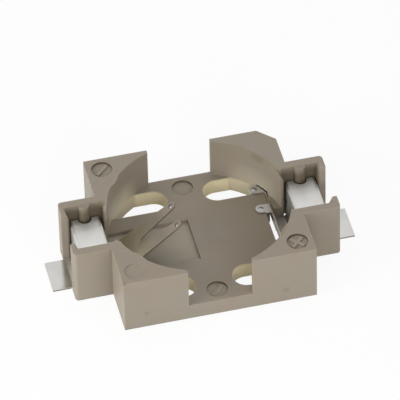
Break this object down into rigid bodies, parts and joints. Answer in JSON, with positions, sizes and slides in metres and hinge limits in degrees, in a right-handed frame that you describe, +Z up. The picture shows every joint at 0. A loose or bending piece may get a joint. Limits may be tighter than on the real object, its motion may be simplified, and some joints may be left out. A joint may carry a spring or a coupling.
{
  "type": "coin cell holder",
  "caption": "Surface-mount holder for a round coin cell: moulded corner blocks round a pocket, a sprung fork and folded clips with solder tabs.",
  "frame": {"origin": "on the board plane, under the centre of the cell pocket", "axes": "+X from the negative contact to the positive contact, +Z up off the board, the cut corner at +X +Y"},
  "size_m": [0.0416, 0.0242, 0.0085],
  "materials": {
    "housing": "moulded, light taupe",
    "contact": "bright plated spring sheet"
  },
  "bodies": {
    "root": {"housing": "housing", "negative_contact": "contact", "positive_contact": "contact"}
  },
  "joints": []
}
